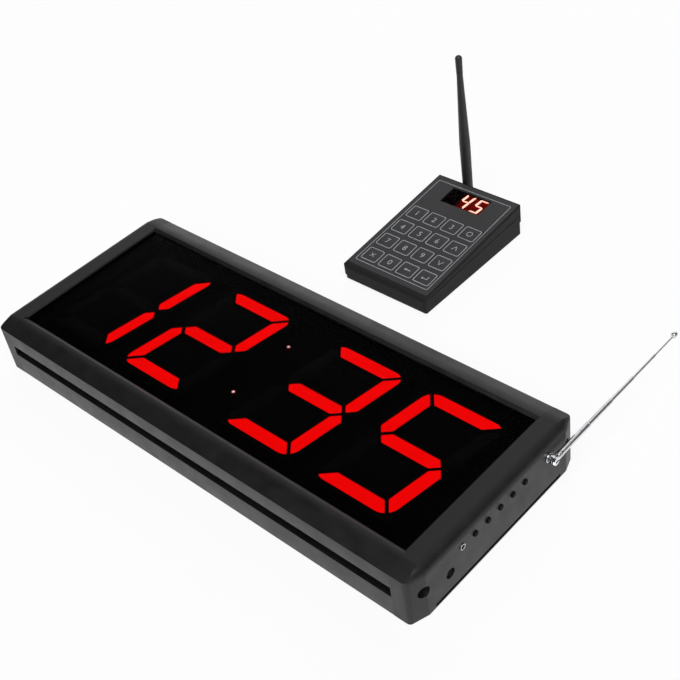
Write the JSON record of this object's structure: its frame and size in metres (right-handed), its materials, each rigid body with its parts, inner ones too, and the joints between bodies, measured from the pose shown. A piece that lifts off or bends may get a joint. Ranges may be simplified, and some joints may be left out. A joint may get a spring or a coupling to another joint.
{
  "type": "guest pager system",
  "caption": "Shop counter number display in a long flat case with lit digits and a telescopic antenna, with its sloped keypad transmitter and folding rubber aerial.",
  "frame": {"origin": "centre of the display's back, in the plane that it rests on", "axes": "+X along the display in reading direction, towards the end with the buttons and antenna; +Y up the digits; +Z out of the display's face"},
  "size_m": [0.5228, 0.4509, 0.1769],
  "materials": {
    "dark_aluminium": "satin black powder coat on extruded aluminium",
    "cap_plastic": "satin black moulded plastic",
    "display_window": "glossy dark tinted acrylic",
    "back_sheet": "matt black pressed sheet",
    "circuit_board": "green solder mask",
    "black_plastic": "matt black",
    "red_diffuser": "lit red diffuser",
    "dark_diffuser": "unlit dark diffuser",
    "bright_metal": "bright plated",
    "screw_steel": "blackened",
    "keypad_plastic": "satin charcoal",
    "red_filter": "glossy dark red filter",
    "soft_rubber": "matt black rubber",
    "dark_metal": "black plated"
  },
  "bodies": {
    "display": {"top_rail": "dark_aluminium", "bottom_rail": "dark_aluminium", "left_end_cap": "cap_plastic", "right_end_cap": "cap_plastic", "front_window": "display_window", "back_panel": "back_sheet", "digit_board": "circuit_board", "digit_reflectors": "black_plastic", "lit_segments": "red_diffuser", "unlit_segments": "dark_diffuser", "colon_lights": "red_diffuser", "control_board": "circuit_board", "tact_switches": "black_plastic", "power_socket": "black_plastic", "audio_socket": "bright_metal", "antenna_bush": "bright_metal", "end_cap_screws": "screw_steel"},
    "set_button_1": {"set_button_1": "black_plastic"},
    "set_button_2": {"set_button_2": "black_plastic"},
    "set_button_3": {"set_button_3": "black_plastic"},
    "set_button_4": {"set_button_4": "black_plastic"},
    "set_button_5": {"set_button_5": "black_plastic"},
    "antenna_post": {"antenna_swivel": "bright_metal", "antenna_pivot_pin": "bright_metal"},
    "antenna_arm": {"antenna_elbow": "bright_metal", "antenna_base_tube": "bright_metal"},
    "antenna_section_2": {"antenna_tube_2": "bright_metal"},
    "antenna_section_3": {"antenna_tube_3": "bright_metal"},
    "antenna_section_4": {"antenna_tube_4": "bright_metal"},
    "antenna_section_5": {"antenna_tip": "bright_metal"},
    "keypad": {"keypad_top_shell": "keypad_plastic", "keypad_bottom_shell": "keypad_plastic", "keypad_faceplate": "keypad_plastic", "led_window": "red_filter", "led_module": "black_plastic", "led_segments": "red_diffuser", "keypad_board": "circuit_board", "key_switches": "black_plastic", "keypad_feet": "soft_rubber", "keypad_screws": "screw_steel", "whip_connector": "dark_metal", "keypad_power_socket": "black_plastic"},
    "key_1": {"key_1": "keypad_plastic"},
    "key_2": {"key_2": "keypad_plastic"},
    "key_3": {"key_3": "keypad_plastic"},
    "key_set": {"key_set": "keypad_plastic"},
    "key_4": {"key_4": "keypad_plastic"},
    "key_5": {"key_5": "keypad_plastic"},
    "key_6": {"key_6": "keypad_plastic"},
    "key_up": {"key_up": "keypad_plastic"},
    "key_7": {"key_7": "keypad_plastic"},
    "key_8": {"key_8": "keypad_plastic"},
    "key_9": {"key_9": "keypad_plastic"},
    "key_down": {"key_down": "keypad_plastic"},
    "key_cancel": {"key_cancel": "keypad_plastic"},
    "key_0": {"key_0": "keypad_plastic"},
    "key_back": {"key_back": "keypad_plastic"},
    "key_enter": {"key_enter": "keypad_plastic"},
    "whip_knuckle": {"whip_knuckle": "black_plastic"},
    "whip": {"rubber_whip": "soft_rubber"}
  },
  "joints": [
    {"name": "set_button_1_press", "type": "slide", "parent": "display", "child": "set_button_1", "axis": [-1, 0, 0], "range_m": [0, 0.0005], "stiffness_N_per_m": 3000},
    {"name": "set_button_2_press", "type": "slide", "parent": "display", "child": "set_button_2", "axis": [-1, 0, 0], "range_m": [0, 0.0005], "stiffness_N_per_m": 3000},
    {"name": "set_button_3_press", "type": "slide", "parent": "display", "child": "set_button_3", "axis": [-1, 0, 0], "range_m": [0, 0.0005], "stiffness_N_per_m": 3000},
    {"name": "set_button_4_press", "type": "slide", "parent": "display", "child": "set_button_4", "axis": [-1, 0, 0], "range_m": [0, 0.0005], "stiffness_N_per_m": 3000},
    {"name": "set_button_5_press", "type": "slide", "parent": "display", "child": "set_button_5", "axis": [-1, 0, 0], "range_m": [0, 0.0005], "stiffness_N_per_m": 3000},
    {"name": "antenna_turn", "type": "hinge", "parent": "display", "child": "antenna_post", "pos_m": [0.2624, 0.0647, 0.038], "axis": [1, 0, 0], "continuous": true},
    {"name": "antenna_fold", "type": "hinge", "parent": "antenna_post", "child": "antenna_arm", "pos_m": [0.2624, 0.0647, 0.038], "axis": [0, 0, 1], "range_deg": [-90, 0]},
    {"name": "antenna_slide_2", "type": "slide", "parent": "antenna_arm", "child": "antenna_section_2", "axis": [0, 1, 0], "range_m": [-0.0315, 0]},
    {"name": "antenna_slide_3", "type": "slide", "parent": "antenna_section_2", "child": "antenna_section_3", "axis": [0, 1, 0], "range_m": [-0.0315, 0]},
    {"name": "antenna_slide_4", "type": "slide", "parent": "antenna_section_3", "child": "antenna_section_4", "axis": [0, 1, 0], "range_m": [-0.0315, 0]},
    {"name": "antenna_slide_5", "type": "slide", "parent": "antenna_section_4", "child": "antenna_section_5", "axis": [0, 1, 0], "range_m": [-0.028, 0]},
    {"name": "keypad_lift", "type": "slide", "parent": "display", "child": "keypad", "axis": [0, 0, 1], "range_m": [0, 0.1]},
    {"name": "key_1_press", "type": "slide", "parent": "keypad", "child": "key_1", "axis": [0, 0.1024, -0.9947], "range_m": [0, 0.0004], "stiffness_N_per_m": 3750},
    {"name": "key_2_press", "type": "slide", "parent": "keypad", "child": "key_2", "axis": [0, 0.1024, -0.9947], "range_m": [0, 0.0004], "stiffness_N_per_m": 3750},
    {"name": "key_3_press", "type": "slide", "parent": "keypad", "child": "key_3", "axis": [0, 0.1024, -0.9947], "range_m": [0, 0.0004], "stiffness_N_per_m": 3750},
    {"name": "key_set_press", "type": "slide", "parent": "keypad", "child": "key_set", "axis": [0, 0.1024, -0.9947], "range_m": [0, 0.0004], "stiffness_N_per_m": 3750},
    {"name": "key_4_press", "type": "slide", "parent": "keypad", "child": "key_4", "axis": [0, 0.1024, -0.9947], "range_m": [0, 0.0004], "stiffness_N_per_m": 3750},
    {"name": "key_5_press", "type": "slide", "parent": "keypad", "child": "key_5", "axis": [0, 0.1024, -0.9947], "range_m": [0, 0.0004], "stiffness_N_per_m": 3750},
    {"name": "key_6_press", "type": "slide", "parent": "keypad", "child": "key_6", "axis": [0, 0.1024, -0.9947], "range_m": [0, 0.0004], "stiffness_N_per_m": 3750},
    {"name": "key_up_press", "type": "slide", "parent": "keypad", "child": "key_up", "axis": [0, 0.1024, -0.9947], "range_m": [0, 0.0004], "stiffness_N_per_m": 3750},
    {"name": "key_7_press", "type": "slide", "parent": "keypad", "child": "key_7", "axis": [0, 0.1024, -0.9947], "range_m": [0, 0.0004], "stiffness_N_per_m": 3750},
    {"name": "key_8_press", "type": "slide", "parent": "keypad", "child": "key_8", "axis": [0, 0.1024, -0.9947], "range_m": [0, 0.0004], "stiffness_N_per_m": 3750},
    {"name": "key_9_press", "type": "slide", "parent": "keypad", "child": "key_9", "axis": [0, 0.1024, -0.9947], "range_m": [0, 0.0004], "stiffness_N_per_m": 3750},
    {"name": "key_down_press", "type": "slide", "parent": "keypad", "child": "key_down", "axis": [0, 0.1024, -0.9947], "range_m": [0, 0.0004], "stiffness_N_per_m": 3750},
    {"name": "key_cancel_press", "type": "slide", "parent": "keypad", "child": "key_cancel", "axis": [0, 0.1024, -0.9947], "range_m": [0, 0.0004], "stiffness_N_per_m": 3750},
    {"name": "key_0_press", "type": "slide", "parent": "keypad", "child": "key_0", "axis": [0, 0.1024, -0.9947], "range_m": [0, 0.0004], "stiffness_N_per_m": 3750},
    {"name": "key_back_press", "type": "slide", "parent": "keypad", "child": "key_back", "axis": [0, 0.1024, -0.9947], "range_m": [0, 0.0004], "stiffness_N_per_m": 3750},
    {"name": "key_enter_press", "type": "slide", "parent": "keypad", "child": "key_enter", "axis": [0, 0.1024, -0.9947], "range_m": [0, 0.0004], "stiffness_N_per_m": 3750},
    {"name": "whip_turn", "type": "hinge", "parent": "keypad", "child": "whip_knuckle", "pos_m": [-0.03731, 0.3414, 0.027], "axis": [0, 1, 0], "range_deg": [-90, 90]},
    {"name": "whip_fold", "type": "hinge", "parent": "whip_knuckle", "child": "whip", "pos_m": [-0.03731, 0.3414, 0.027], "axis": [1, 0, 0], "range_deg": [-90, 0]}
  ]
}
